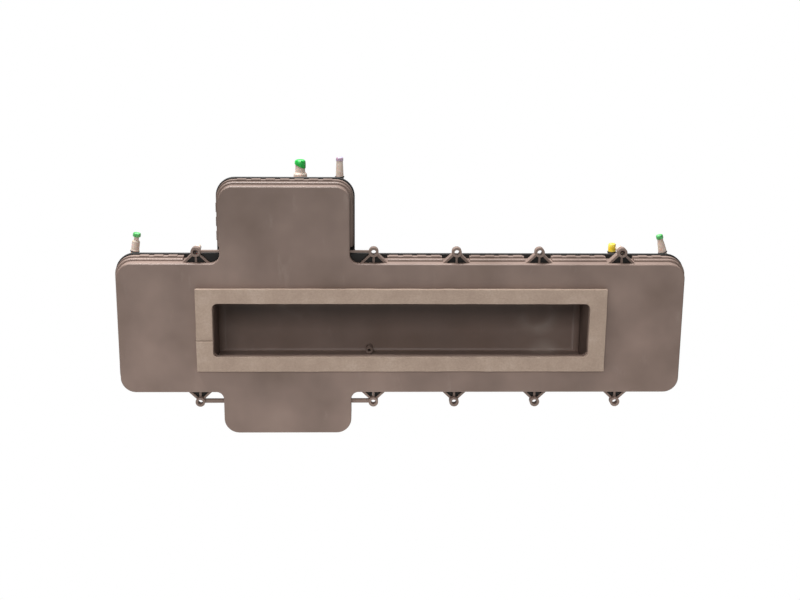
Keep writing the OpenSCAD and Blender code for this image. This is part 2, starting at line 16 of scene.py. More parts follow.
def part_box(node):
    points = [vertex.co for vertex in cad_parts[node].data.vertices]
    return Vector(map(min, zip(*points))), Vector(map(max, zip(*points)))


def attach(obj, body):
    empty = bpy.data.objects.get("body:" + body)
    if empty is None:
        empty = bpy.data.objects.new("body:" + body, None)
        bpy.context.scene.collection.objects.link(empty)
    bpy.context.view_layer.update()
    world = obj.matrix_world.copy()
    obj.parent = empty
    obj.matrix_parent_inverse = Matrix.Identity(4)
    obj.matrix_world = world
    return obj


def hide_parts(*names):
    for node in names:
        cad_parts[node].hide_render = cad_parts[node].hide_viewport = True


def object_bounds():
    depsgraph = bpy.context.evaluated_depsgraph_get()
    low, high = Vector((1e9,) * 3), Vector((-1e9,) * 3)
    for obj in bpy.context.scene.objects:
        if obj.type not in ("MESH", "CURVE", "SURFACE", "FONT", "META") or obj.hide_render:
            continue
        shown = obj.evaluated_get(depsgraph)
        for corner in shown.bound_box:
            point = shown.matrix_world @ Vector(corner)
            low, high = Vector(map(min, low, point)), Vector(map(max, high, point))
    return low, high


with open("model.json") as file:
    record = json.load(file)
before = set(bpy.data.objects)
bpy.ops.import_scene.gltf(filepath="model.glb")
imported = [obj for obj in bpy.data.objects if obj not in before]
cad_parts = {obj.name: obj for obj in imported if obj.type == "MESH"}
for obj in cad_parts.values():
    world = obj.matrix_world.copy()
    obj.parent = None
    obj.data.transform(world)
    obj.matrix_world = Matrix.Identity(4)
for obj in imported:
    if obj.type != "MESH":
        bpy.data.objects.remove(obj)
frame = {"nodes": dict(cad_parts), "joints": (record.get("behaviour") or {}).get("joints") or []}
cad_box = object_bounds()
MM = 0.001
print("CAD nodes:", len(frame["nodes"]), "CAD box:", cad_box)

# %% [markdown]
# The camera comes first, because every later choice is judged through it. A 58 mm lens
# stands 1.3 m in front of the housing and 0.4 m above the slot, and looks down by
# 15 degrees, a little towards the right. The view transform is the plain one, so that
# a white backdrop stays white.

# %% Camera
LENS_MM = 58.3
CAMERA_AT = Vector((-0.039, -1.3163, 0.3908))
LOOK_DOWN = math.radians(15.15)
LOOK_RIGHT = math.radians(1.61)
ROLL = math.radians(0.47)


def aim():
    """The camera's turn: its right, up and backward directions as the columns of a matrix."""
    forward = Vector((math.sin(LOOK_RIGHT) * math.cos(LOOK_DOWN),
                      math.cos(LOOK_RIGHT) * math.cos(LOOK_DOWN), -math.sin(LOOK_DOWN)))
    right = Vector((math.cos(LOOK_RIGHT), -math.sin(LOOK_RIGHT), 0))
    up = right.cross(forward)
    rolled_right = right * math.cos(ROLL) + up * math.sin(ROLL)
    rolled_up = up * math.cos(ROLL) - right * math.sin(ROLL)
    return Matrix((rolled_right, rolled_up, -forward)).transposed()


camera_data = bpy.data.cameras.new("camera")
camera_data.lens = LENS_MM
camera = bpy.data.objects.new("camera", camera_data)
camera.location = CAMERA_AT
camera.rotation_euler = aim().to_euler()
bpy.context.scene.collection.objects.link(camera)
bpy.context.scene.camera = camera
bpy.context.scene.view_settings.view_transform = "Standard"
print("camera", [round(v, 3) for v in camera.location])

# %% [markdown]
# Small helpers keep the modelling cells short. Operators act on what is selected, so
# each piece starts with nothing selected, and its vertices, edges or faces are then
# picked by their place.

# %% Helpers for modelling


def nothing_selected():
    if bpy.context.object and bpy.context.object.mode == "EDIT":
        bpy.ops.object.mode_set(mode="OBJECT")
    bpy.ops.object.select_all(action="DESELECT")


def take(piece):
    """Makes piece the only selected object."""
    nothing_selected()
    piece.select_set(True)
    bpy.context.view_layer.objects.active = piece


def pick(piece, kind, wanted):
    """Enters edit mode with just those vertices, edges or faces selected that wanted accepts."""
    take(piece)
    bpy.ops.object.mode_set(mode="EDIT")
    bpy.ops.mesh.select_mode(type=kind)
    bpy.ops.mesh.select_all(action="DESELECT")
    bpy.ops.object.mode_set(mode="OBJECT")
    mesh = piece.data
    items = {"VERT": mesh.vertices, "EDGE": mesh.edges, "FACE": mesh.polygons}[kind]
    picked = [item for item in items if wanted(item)]
    for item in picked:
        item.select = True
    bpy.ops.object.mode_set(mode="EDIT")
    return len(picked)


def modify(piece, kind, **settings):
    """Adds a modifier with its settings and applies it."""
    take(piece)
    modifier = piece.modifiers.new(kind.title(), kind)
    for key, value in settings.items():
        setattr(modifier, key, value)
    bpy.ops.object.modifier_apply(modifier=modifier.name)


def cad_copy(node, name):
    """A copy of a CAD node's shape with its triangles joined into flat faces, ready for edges."""
    piece = bpy.data.objects.new(name, frame["nodes"][node].data.copy())
    bpy.context.scene.collection.objects.link(piece)
    piece.data.materials.clear()
    take(piece)
    bpy.ops.object.mode_set(mode="EDIT")
    bpy.ops.mesh.select_all(action="SELECT")
    bpy.ops.mesh.remove_doubles(threshold=1e-6)
    bpy.ops.mesh.dissolve_limited(angle_limit=0.01)
    bpy.ops.object.mode_set(mode="OBJECT")
    return piece


def round_sharp_edges(piece, width, wanted, segments=3):
    """Bevels the sharp edges that wanted accepts; wanted reads an edge's two ends."""
    take(piece)
    bpy.ops.object.mode_set(mode="EDIT")
    bpy.ops.mesh.select_mode(type="EDGE")
    bpy.ops.mesh.select_all(action="DESELECT")
    bpy.ops.mesh.edges_select_sharp(sharpness=math.radians(35))
    bpy.ops.object.mode_set(mode="OBJECT")
    mesh = piece.data
    sharp = {edge.index for edge in mesh.edges if edge.select}
    at = mesh.vertices
    count = pick(piece, "EDGE", lambda edge: edge.index in sharp
                 and wanted(at[edge.vertices[0]].co, at[edge.vertices[1]].co))
    bpy.ops.mesh.bevel(offset=width, segments=segments, affect="EDGES", clamp_overlap=True)
    bpy.ops.object.mode_set(mode="OBJECT")
    return count


def soften(piece, width, segments=2, angle=40):
    """Rounds every remaining sharp edge by a small width, as a mould or a cutter leaves it."""
    modify(piece, "BEVEL", width=width, segments=segments, limit_method="ANGLE",
           angle_limit=math.radians(angle), use_clamp_overlap=True)


def turned(name, profile, steps=48):
    """Spins a profile of (radius, height) points, in millimetres, into a closed round piece."""
    nothing_selected()
    bpy.ops.mesh.primitive_plane_add(size=MM)
    piece = bpy.context.object
    piece.name = name
    bpy.ops.object.mode_set(mode="EDIT")
    bpy.ops.mesh.select_mode(type="VERT")
    bpy.ops.mesh.merge(type="CENTER")
    bpy.ops.transform.translate(value=(profile[0][0] * MM, 0, profile[0][1] * MM))
    for (radius, height), (next_radius, next_height) in zip(profile, profile[1:]):
        step = ((next_radius - radius) * MM, 0, (next_height - height) * MM)
        bpy.ops.mesh.extrude_region_move(TRANSFORM_OT_translate={"value": step})
    bpy.ops.mesh.select_all(action="SELECT")
    bpy.ops.mesh.spin(steps=steps, angle=2 * math.pi, center=(0, 0, 0), axis=(0, 0, 1))
    bpy.ops.mesh.select_all(action="SELECT")
    bpy.ops.mesh.remove_doubles(threshold=1e-6)
    bpy.ops.mesh.normals_make_consistent(inside=False)
    bpy.ops.object.mode_set(mode="OBJECT")
    return piece


def cut_away(piece, size, at, turn=(0, 0, 0)):
    """Cuts a box of that size, centred at that place and turned, out of the piece."""
    nothing_selected()
    bpy.ops.mesh.primitive_cube_add(size=1, location=at, rotation=turn, scale=size)
    cutter = bpy.context.object
    bpy.ops.object.transform_apply(location=True, rotation=True, scale=True)
    modify(piece, "BOOLEAN", operation="DIFFERENCE", solver="EXACT", object=cutter)
    bpy.data.objects.remove(cutter)


def smooth(piece):
    """Smooth shading that keeps large faces flat."""
    take(piece)
    bpy.ops.object.shade_smooth_by_angle(angle=math.radians(40))
    modify(piece, "WEIGHTED_NORMAL", keep_sharp=True, weight=100)


def place_piece(piece, body, slot, material, *nodes):
    """Puts a finished piece on its body, gives it its material and hides the CAD nodes it stands for."""
    take(piece)
    bpy.ops.object.transform_apply(location=True, rotation=True, scale=True)
    piece.data.materials.clear()
    piece.data.materials.append(material)
    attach(piece, body)
    if nodes:
        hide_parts(*nodes)
    print(piece.name, "faces:", len(piece.data.polygons))


# %% [markdown]
# Colours are written as sRGB hex, as a colour picker gives them, and turned to the
# linear values that shaders read. One function adds a node with its settings and
# links. All patterns read Object coordinates in metres, so a scale is one over the
# pattern's real size.

# %% Helpers for materials


def colour(code):
    """Linear red, green, blue and alpha of an sRGB hex colour."""
    parts = [int(code[i:i + 2], 16) / 255 for i in (1, 3, 5)]
    linear = [p / 12.92 if p <= 0.04045 else ((p + 0.055) / 1.055) ** 2.4 for p in parts]
    return (*linear, 1)


def add(tree, kind, links=None, values=None, **settings):
    """Adds a node. links maps its inputs to other nodes' outputs, values sets the rest."""
    node = tree.nodes.new(kind)
    for key, value in settings.items():
        setattr(node, key, value)
    for key, value in (values or {}).items():
        node.inputs[key].default_value = value
    for key, output in (links or {}).items():
        tree.links.new(output, node.inputs[key])
    return node


def new_material(name, roughness, **shader):
    """A material with a plain shader; returns it, its node tree, its shader and its coordinates."""
    material = bpy.data.materials.new(name)
    material.use_nodes = True
    tree = material.node_tree
    bsdf = tree.nodes["Principled BSDF"]
    bsdf.inputs["Roughness"].default_value = roughness
    for key, value in shader.items():
        bsdf.inputs[key.replace("_", " ")].default_value = value
    where = add(tree, "ShaderNodeTexCoord").outputs["Object"]
    return material, tree, bsdf, where


def noise(tree, where, size_mm, detail=4.0, roughness=0.5, stretch=(1, 1, 1)):
    """Noise whose lumps are size_mm across; stretch squeezes it along an axis."""
    mapping = add(tree, "ShaderNodeMapping", {"Vector": where}, {"Scale": stretch})
    return add(tree, "ShaderNodeTexNoise", {"Vector": mapping.outputs["Vector"]},
               {"Scale": 1 / (size_mm * MM), "Detail": detail, "Roughness": roughness}).outputs["Fac"]


def cells(tree, where, size_mm):
    """Distance from the middles of cells that are size_mm across."""
    return add(tree, "ShaderNodeTexVoronoi", {"Vector": where},
               {"Scale": 1 / (size_mm * MM)}).outputs["Distance"]


def ramp(tree, value, stops):
    """Colours along a value: stops are (position, hex colour)."""
    node = add(tree, "ShaderNodeValToRGB", {"Fac": value})
    elements = node.color_ramp.elements
    while len(elements) < len(stops):
        elements.new(0.5)
    for element, (position, code) in zip(elements, stops):
        element.position = position
        element.color = colour(code)
    return node.outputs["Color"]


def span(tree, value, low, high, start=0.3, end=0.7):
    """Maps a value from start..end to low..high."""
    node = add(tree, "ShaderNodeMapRange", {"Value": value})
    for key, number in (("From Min", start), ("From Max", end), ("To Min", low), ("To Max", high)):
        node.inputs[key].default_value = number
    return node.outputs["Result"]


def mix(tree, factor, first, second, blend="MIX"):
    """Mixes two colour outputs; factor is a number or an output."""
    node = add(tree, "ShaderNodeMix", data_type="RGBA", blend_type=blend)
    for key, value in ((0, factor), (6, first), (7, second)):
        if isinstance(value, (int, float, tuple)):
            node.inputs[key].default_value = value
        else:
            tree.links.new(value, node.inputs[key])
    return node.outputs[2]


def bump(tree, bsdf, height, strength, depth_mm, below=None):
    """Raises the surface by height times depth_mm; below is a bump it is added to."""
    links = {"Height": height}
    if below:
        links["Normal"] = below
    node = add(tree, "ShaderNodeBump", links, {"Strength": strength, "Distance": depth_mm * MM})
    tree.links.new(node.outputs["Normal"], bsdf.inputs["Normal"])
    return node.outputs["Normal"]


# %% [markdown]
# The shells are injection-moulded polypropylene in a taupe grey. The mould was spark
# eroded, which leaves a fine, even grain and a satin sheen. Polypropylene shrinks
# unevenly as it cools, so the tone is slightly blotchy, with soft flow marks that run
# up the part, and handling leaves faint pale scuffs. Shade is painted in as well: the
# tone darkens towards the top, so the tower comes out darker than the bump. The inside
# of the back wall also carries faint tide marks.

# %% Moulded polypropylene


def moulded_polypropylene(name, dark, base, pale, roughness=0.5, tides=0.0):
    material, tree, bsdf, where = new_material(name, roughness)
    clouds = noise(tree, where, 70, detail=3)
    flow = noise(tree, where, 45, detail=5, stretch=(1, 1, 0.18))
    tone = ramp(tree, clouds, [(0.30, dark), (0.5, base), (0.72, pale)])
    streak = ramp(tree, flow, [(0.35, "#8f8f8f"), (0.65, "#a6a6a6")])
    toned = mix(tree, 0.35, tone, streak, "OVERLAY")
    # Painted shade: the colour darkens with height, up to a third of the way to dark brown at the tower,
    # standing in for weaker light up there
    height = add(tree, "ShaderNodeSeparateXYZ", {"Vector": where}).outputs["Z"]
    painted_shade_towards_top = span(tree, height, 0.0, 0.34, -0.02, 0.14)
    toned = mix(tree, painted_shade_towards_top, toned, colour("#4a3f39"))
    scuff_lines = noise(tree, where, 16, detail=7, roughness=0.65, stretch=(1.0, 1, 0.3))
    scuffs = span(tree, scuff_lines, 0.0, 0.14, 0.62, 0.8)
    toned = mix(tree, scuffs, toned, colour("#b9aca4"))
    if tides:
        rings = cells(tree, where, 80)
        edge = ramp(tree, rings, [(0.20, "#000000"), (0.27, "#ffffff"), (0.40, "#000000")])
        wet = mix(tree, 1.0, edge, ramp(tree, clouds, [(0.45, "#000000"), (0.6, "#ffffff")]), "MULTIPLY")
        strength = add(tree, "ShaderNodeMath", {0: wet}, {1: tides}, operation="MULTIPLY").outputs[0]
        toned = mix(tree, strength, toned, colour("#c9bdb2"))
    tree.links.new(toned, bsdf.inputs["Base Color"])
    tree.links.new(span(tree, clouds, roughness - 0.07, roughness + 0.08), bsdf.inputs["Roughness"])
    # Spark-eroded grain is about 0.1 mm; it is drawn at 0.9 mm so that it shows
    grain = noise(tree, where, 0.9, detail=2)
    waves = noise(tree, where, 60, detail=1)
    low = bump(tree, bsdf, waves, 0.35, 1.2)
    bump(tree, bsdf, grain, 0.25, 0.06, low)
    return material


SHELL = moulded_polypropylene("moulded taupe polypropylene", "#786459", "#877268", "#968075")
REAR = moulded_polypropylene("moulded polypropylene, rear", "#826d62", "#89746a", "#958075", tides=0.22)
print("materials:", SHELL.name, "and", REAR.name)

# %% [markdown]
# The slot's seal is cut from closed-cell foam sheet. Its skin shows tiny cells, it
# scatters light and has hardly any shine. The seal between the shells is black rubber,
# matt with a faint bloom.

# %% Foam and rubber


def closed_cell_foam():
    material, tree, bsdf, where = new_material("closed-cell foam", 0.9, Specular_IOR_Level=0.25)
    pores = cells(tree, where, 1.3)
    clouds = noise(tree, where, 28, detail=6, roughness=0.62)
    tone = ramp(tree, clouds, [(0.30, "#a08c7e"), (0.55, "#ab9788"), (0.75, "#b5a294")])
    speck = span(tree, noise(tree, where, 2.2, detail=3), 0.0, 0.35, 0.35, 0.75)
    tree.links.new(mix(tree, speck, tone, colour("#8d7b6e")), bsdf.inputs["Base Color"])
    low = bump(tree, bsdf, pores, 0.5, 0.25)
    bump(tree, bsdf, noise(tree, where, 9, detail=3), 0.4, 0.5, low)
    return material


def black_rubber():
    material, tree, bsdf, where = new_material("moulded black rubber", 0.6, Specular_IOR_Level=0.35)
    bloom = noise(tree, where, 12, detail=4)
    tree.links.new(ramp(tree, bloom, [(0.35, "#151312"), (0.7, "#211f1d")]), bsdf.inputs["Base Color"])
    tree.links.new(span(tree, bloom, 0.5, 0.75), bsdf.inputs["Roughness"])
    bump(tree, bsdf, noise(tree, where, 0.8, detail=3), 0.3, 0.08)
    return material


FOAM = closed_cell_foam()
RUBBER = black_rubber()

# %% [markdown]
# The nipples are natural nylon, a warm white that lets a little light in. Their caps
# are dip-moulded vinyl: soft, slightly glossy and strongly coloured, with a paler
# tint where the vinyl is thin.

# %% Nylon and vinyl


def natural_nylon():
    material, tree, bsdf, where = new_material("natural nylon", 0.42, Subsurface_Weight=0.12,
                                               Subsurface_Scale=0.002)
    clouds = noise(tree, where, 6, detail=3)
    tree.links.new(ramp(tree, clouds, [(0.3, "#c4b0a2"), (0.7, "#d6c5b8")]), bsdf.inputs["Base Color"])
    tree.links.new(span(tree, clouds, 0.36, 0.52), bsdf.inputs["Roughness"])
    bump(tree, bsdf, noise(tree, where, 0.7, detail=2), 0.2, 0.05)
    return material


def dipped_vinyl(name, deep, light):
    material, tree, bsdf, where = new_material(name, 0.32, Subsurface_Weight=0.15, Subsurface_Scale=0.0015)
    clouds = noise(tree, where, 4, detail=2)
    tree.links.new(ramp(tree, clouds, [(0.35, deep), (0.7, light)]), bsdf.inputs["Base Color"])
    tree.links.new(span(tree, clouds, 0.28, 0.42), bsdf.inputs["Roughness"])
    bump(tree, bsdf, noise(tree, where, 1.5, detail=2), 0.25, 0.1)
    return material


NYLON = natural_nylon()
VINYL = {
    "green_cap": dipped_vinyl("dipped green vinyl", "#3f9a4c", "#6fc77a"),
    "bright_green_cap": dipped_vinyl("dipped bright green vinyl", "#149a35", "#2fc457"),
    "violet_cap": dipped_vinyl("dipped violet vinyl", "#a48fa3", "#bfaebd"),
    "yellow_cap": dipped_vinyl("dipped yellow vinyl", "#ecc92c", "#fbe36a"),
}
print("vinyl colours:", len(VINYL))

# %% [markdown]
# Inside sit a pleated paper filter in a dark plastic frame with an orange
# polyurethane seal, and a stamped steel screen. The outlet's screws are zinc-plated.

# %% Paper, polyurethane and steel


def filter_paper():
    material, tree, bsdf, where = new_material("resin-treated filter paper", 0.85)
    fibres = noise(tree, where, 1.2, detail=5, stretch=(1, 1, 0.3))
    tree.links.new(ramp(tree, fibres, [(0.3, "#d3c48f"), (0.7, "#e3d7aa")]), bsdf.inputs["Base Color"])
    bump(tree, bsdf, fibres, 0.4, 0.15)
    return material


def cast_polyurethane():
    material, tree, bsdf, where = new_material("cast polyurethane", 0.5, Subsurface_Weight=0.1,
                                               Subsurface_Scale=0.002)
    clouds = noise(tree, where, 8, detail=3)
    tree.links.new(ramp(tree, clouds, [(0.3, "#bf5a26"), (0.7, "#d0703a")]), bsdf.inputs["Base Color"])
    bump(tree, bsdf, noise(tree, where, 1, detail=3), 0.3, 0.1)
    return material


def dark_nylon():
    material, tree, bsdf, where = new_material("glass-filled dark nylon", 0.45)
    clouds = noise(tree, where, 10, detail=4)
    tree.links.new(ramp(tree, clouds, [(0.3, "#3a3f42"), (0.7, "#474c50")]), bsdf.inputs["Base Color"])
    bump(tree, bsdf, noise(tree, where, 0.8, detail=2), 0.25, 0.06)
    return material


def plated_steel(name, dark, pale, roughness):
    material, tree, bsdf, where = new_material(name, roughness, Metallic=1.0)
    clouds = noise(tree, where, 3, detail=5)
    tree.links.new(ramp(tree, clouds, [(0.3, dark), (0.7, pale)]), bsdf.inputs["Base Color"])
    tree.links.new(span(tree, clouds, roughness - 0.08, roughness + 0.1), bsdf.inputs["Roughness"])
    bump(tree, bsdf, noise(tree, where, 0.6, detail=2), 0.15, 0.03)
    return material


PAPER = filter_paper()
POLYURETHANE = cast_polyurethane()
FRAME_NYLON = dark_nylon()
SCREEN_STEEL = plated_steel("stamped steel", "#85888a", "#a5a8aa", 0.42)
ZINC = plated_steel("zinc-plated steel", "#9a9da0", "#c0c3c5", 0.32)

# %% [markdown]
# The front shell is one moulding: the dish with the slot and its lip, the tower's and
# the bump's fronts, the rim, the clip lugs and ten screw ears on ribs. Its shape is
# right in the frame, so a copy is joined into clean faces. What the copy lacks is what
# the mould gives: a round of 3.2 mm along the front edge, one of 1.5 mm along the rim,
# which catches the light from above, and a small round everywhere else.

# %% Front shell
front_shell = cad_copy("front_shell", "front_shell_moulding")
FACE_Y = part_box("slot_gasket")[1].y
# Half width and half height of the lip round the slot, whose edges stay crisp
SLOT_X = 0.203
SLOT_Z = 0.031
RIM_Y = FACE_Y + 12 * MM
# The rim stands out further than this; other edges at its depth lie closer to the wall
RIM_AT_LEAST = 2 * MM
# Middle, half size and corner radius of the body and the tower, seen from the front
OUTLINE = [((0, 0.0005), (0.300, 0.071), 0.016), ((-0.123, 0.077), (0.06825, 0.0765), 0.015)]


def outside_outline(point):
    """How far a point lies outside the shell's outline, seen from the front."""
    distances = []
    for (middle_x, middle_z), (half_x, half_z), radius in OUTLINE:
        dx = max(abs(point.x - middle_x) - half_x + radius, 0)
        dz = max(abs(point.z - middle_z) - half_z + radius, 0)
        distances.append(math.hypot(dx, dz) - radius)
    return min(distances)


def on_front_outline(a, b):
    flat = abs(a.y - FACE_Y) < 1e-5 and abs(b.y - FACE_Y) < 1e-5
    middle = (a + b) / 2
    return flat and (abs(middle.x) > SLOT_X or abs(middle.z) > SLOT_Z)


def on_rim_edge(a, b):
    flat = abs(a.y - RIM_Y) < 1e-5 and abs(b.y - RIM_Y) < 1e-5
    return flat and min(outside_outline(a), outside_outline(b)) > RIM_AT_LEAST


outline_edges = round_sharp_edges(front_shell, 3.2 * MM, on_front_outline, segments=6)
rim_edges = round_sharp_edges(front_shell, 1.5 * MM, on_rim_edge, segments=4)
soften(front_shell, 0.35 * MM)
smooth(front_shell)
place_piece(front_shell, "front", "shell_plastic", SHELL, "front_shell")
print("rounded edges on the front outline:", outline_edges, "and on the rim:", rim_edges)

# %% [markdown]
# The rear shell is the deeper half. Its back edge has a wider round, as deep mouldings
# have, so that the plastic flows into the corner and the corner doesn't crack.

# %% Rear shell
rear_shell = cad_copy("rear_shell", "rear_shell_moulding")
REAR_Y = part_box("rear_shell")[1].y


def on_back_outline(a, b):
    flat = abs(a.y - REAR_Y) < 1e-5 and abs(b.y - REAR_Y) < 1e-5
    middle = (a + b) / 2
    low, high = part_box("outlet_spigot")
    under_spigot = low.x < middle.x < high.x and low.z < middle.z < high.z
    return flat and not under_spigot


back_edges = round_sharp_edges(rear_shell, 5 * MM, on_back_outline, segments=6)
soften(rear_shell, 0.35 * MM)
smooth(rear_shell)
place_piece(rear_shell, "rear", "rear_plastic", REAR, "rear_shell")
print("back outline edges rounded:", back_edges)

# %% [markdown]
# Behind the slot, two end walls stand on feet that are glued to the front shell, and a
# shelf with round corners runs along the foot of the back wall. A third loose piece is
# the collar that the filter's seal presses on.

# %% Duct and collar
for node, body, slot, material in (("duct_ends", "front", "shell_plastic", SHELL),
                                   ("duct_shelf", "rear", "rear_plastic", REAR),
                                   ("filter_collar", "rear", "rear_plastic", REAR)):
    piece = cad_copy(node, node + "_moulding")
    soften(piece, 0.3 * MM)
    smooth(piece)
    place_piece(piece, body, slot, material, node)

# %% [markdown]
# Black rubber pads sit in the pockets between the ears' ribs and beside the tower, as
# painted shade: dark pieces that stand for the deep shade in those pockets. The two
# outermost upper ears have nylon spacer sleeves behind them. The seal between the
# shells is pinched, so its outer edge bulges a little.

# %% Pads, sleeves and perimeter seal
# Painted shade: the ear pads are black pieces set where the pockets lie in deep shade
for node, slot, material in (("ear_pads", "black_rubber", RUBBER), ("ear_sleeves", "nipple_plastic", NYLON)):
    piece = cad_copy(node, node + "_fitted")
    soften(piece, 0.25 * MM)
    smooth(piece)
    place_piece(piece, "front", slot, material, node)
perimeter_seal = cad_copy("perimeter_seal", "perimeter_seal_rubber")
soften(perimeter_seal, 1.1 * MM, segments=4)
smooth(perimeter_seal)
place_piece(perimeter_seal, "rear", "black_rubber", RUBBER, "perimeter_seal")

# %% [markdown]
# The foam strip is die cut and its two ends are butted together on the left, which
# leaves a fine groove. A knife drags a little as it cuts, so the strip gets extra cuts
# across it, and a slow noise then pushes its skin in by up to half a millimetre.

# %% Slot seal
slot_seal = cad_copy("slot_gasket", "slot_foam_seal")
seal_low, seal_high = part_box("slot_gasket")
soften(slot_seal, 0.6 * MM, segments=3)
strip_middle = (seal_low.x - SLOT_X) / 2
cut_away(slot_seal, (30 * MM, 2.4 * MM, 0.5 * MM), (strip_middle, 0, -11 * MM))
CUT_EVERY = 8 * MM
for axis in (Vector((1, 0, 0)), Vector((0, 0, 1))):
    first, last = seal_low.dot(axis), seal_high.dot(axis)
    for i in range(1, int((last - first) / CUT_EVERY)):
        take(slot_seal)
        bpy.ops.object.mode_set(mode="EDIT")
        bpy.ops.mesh.select_all(action="SELECT")
        bpy.ops.mesh.bisect(plane_co=axis * (first + i * CUT_EVERY), plane_no=axis)
        bpy.ops.object.mode_set(mode="OBJECT")
drag = bpy.data.textures.new("knife drag", "CLOUDS")
drag.noise_scale = 22 * MM
modify(slot_seal, "DISPLACE", texture=drag, texture_coords="LOCAL", strength=0.8 * MM, mid_level=1.0)
smooth(slot_seal)
place_piece(slot_seal, "front", "foam", FOAM, "slot_gasket")

# %% [markdown]
# The five nipples are round, so each is one profile spun about its axis. The seat of a
# nipple is found from its cap: the cap's joint gives the direction, and the cap's
# middle is a known way up it.

# %% Where the nipples stand
AXIS = {joint["name"]: Vector(joint["axis"]) for joint in frame["joints"]}


def seat_of(cap, joint, middle_mm):
    """The middle of a nipple's seat, and the nipple's lean as a turn about Y."""
    low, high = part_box(cap)
    axis = AXIS[joint]
    return (low + high) / 2 - axis * middle_mm * MM, math.atan2(axis.x, axis.z)


SEATS = {
    "left": seat_of("cap_left", "left_cap_pull", 19.15),
    "breather": seat_of("cap_breather", "breather_cap_pull", 14.35),
    "tap": seat_of("cap_tap", "tap_cap_pull", 19.75),
    "short": seat_of("cap_short", "short_cap_pull", 5.95),
    "right": seat_of("cap_right", "right_cap_pull", 18.45),
}


def stand(piece, seat):
    piece.location, piece.rotation_euler.y = SEATS[seat]


print("seats:", {name: [round(v, 4) for v in place] for name, (place, lean) in SEATS.items()})

# %% [markdown]
# A nipple's profile runs up its outside, from the collar round the seat to the end
# under the cap, and back down the bore to the stem inside the shell. The left nipple
# has a stout body and a thin neck, the right one and the tap one taper, and the
# breather is a wide stub on a thick foot.

# %% Nipples
BORE = 1.3
STEM = 2.45
COLLAR = -6.2
OUTSIDES = {
    "left": [(4.35, COLLAR), (4.4, 0.6), (4.85, 1.3), (4.75, 2.1), (4.35, 2.7), (4.2, 11.6), (3.7, 12.4),
             (2.7, 12.8), (2.6, 20.0), (2.1, 20.4)],
    "breather": [(6.8, COLLAR), (6.9, 0.2), (7.25, 0.8), (7.15, 3.4), (6.5, 4.5), (5.5, 5.2), (5.2, 6.4),
                 (5.15, 17.6), (4.7, 18.0)],
    "tap": [(4.35, COLLAR), (4.1, 1.1), (4.15, 1.7), (3.5, 17.5), (2.8, 17.6), (2.75, 20.6), (2.3, 21.0)],
    "short": [(4.35, COLLAR), (4.35, -0.1), (3.0, 0.2), (2.95, 8.8), (2.5, 9.2)],
    "right": [(4.35, COLLAR), (4.3, 1.1), (4.45, 1.8), (4.3, 4.4), (3.6, 11.6), (3.35, 12.2), (3.1, 15.9),
              (2.65, 16.1), (2.6, 19.4), (2.1, 19.8)],
}
DEPTHS = {"left": 14.5, "breather": 10.5, "tap": 10.5, "short": 10.5, "right": 14.5}
for name, outside in OUTSIDES.items():
    top = outside[-1][1]
    stem = [(BORE, top), (BORE, -DEPTHS[name]), (STEM, -DEPTHS[name]), (STEM, COLLAR), outside[0]]
    nipple = turned("nipple_" + name + "_turned", outside + stem)
    soften(nipple, 0.25 * MM, segments=3, angle=25)
    stand(nipple, name)
    smooth(nipple)
    place_piece(nipple, "rear", "nipple_plastic", NYLON, "nipple_" + name)

# %% [markdown]
# A rubber ring sits under each nipple. It is a round cord bent into a circle, so its
# profile is itself a small circle.

# %% Rubber rings
RING_HEIGHT = 0.55
rings = []
for name, (place, lean) in SEATS.items():
    radius, thick = (6.7, 0.4) if name == "breather" else (4.45, 0.62)
    turns = [2 * math.pi * i / 12 for i in range(13)]
    ring = turned("ring_" + name, [(radius + thick * math.cos(t), RING_HEIGHT + thick * math.sin(t))
                                   for t in turns])
    stand(ring, name)
    rings.append(ring)
nothing_selected()
for ring in rings:
    ring.select_set(True)
bpy.context.view_layer.objects.active = rings[0]
bpy.ops.object.transform_apply(location=True, rotation=True, scale=True)
bpy.ops.object.join()
rings[0].name = "nipple_rubber_rings"
smooth(rings[0])
place_piece(rings[0], "rear", "black_rubber", RUBBER, "nipple_rings")

# %% [markdown]
# The caps are dipped, so their tops are domes and their skirts end in a soft lip. Each
# takes its outside diameter, height, bore and foot from the nipple it covers. The
# breather's skirt is cut on a slant, lower on the right.

# %% Caps
CAPS = {
    "left": ("left_cap", "green_cap", 8.4, 4.5, 5.46, 16.9),
    "breather": ("breather_cap", "bright_green_cap", 11.8, 9.3, 10.56, 9.7),
    "tap": ("tap_cap", "violet_cap", 7.8, 4.1, 5.76, 17.7),
    "short": ("short_cap", "yellow_cap", 8.6, 9.3, 6.16, 1.3),
    "right": ("right_cap", "green_cap", 7.6, 4.7, 5.46, 16.1),
}
ROOF = 1.0
SLANT = math.radians(25)


def cap_profile(width, height, bore, foot):
    outer, inner = width / 2, bore / 2
    inside = [(0, height - ROOF), (inner, height - ROOF), (inner, 0.25), (inner + 0.15, 0)]
    dome = [(1.0, 0.5), (1.0, 0.6 * height), (0.97, 0.76 * height), (0.88, 0.9 * height),
            (0.68, 0.97 * height), (0.35, height), (0, height)]
    outside = [(outer - 0.25, 0)] + [(share * outer, up) for share, up in dome]
    return [(radius, up + foot) for radius, up in inside + outside]


for name, (body, finish, width, height, bore, foot) in CAPS.items():
    cap = turned("cap_" + name + "_dipped", cap_profile(width, height, bore, foot))
    if name == "breather":
        pivot = Vector((-width / 2, 0, foot + height / 2)) * MM
        size = 60 * MM
        middle = pivot - Vector((math.sin(SLANT), 0, math.cos(SLANT))) * size / 2
        cut_away(cap, (size, size, size), middle, (0, SLANT, 0))
    soften(cap, 0.2 * MM, segments=2, angle=30)
    stand(cap, name)
    smooth(cap)
    place_piece(cap, body, finish, VINYL[finish], "cap_" + name)

# %% [markdown]
# The pieces inside the tower and the outlet keep the frame's shapes, with the soft
# edges of a moulding, a casting or a stamping.

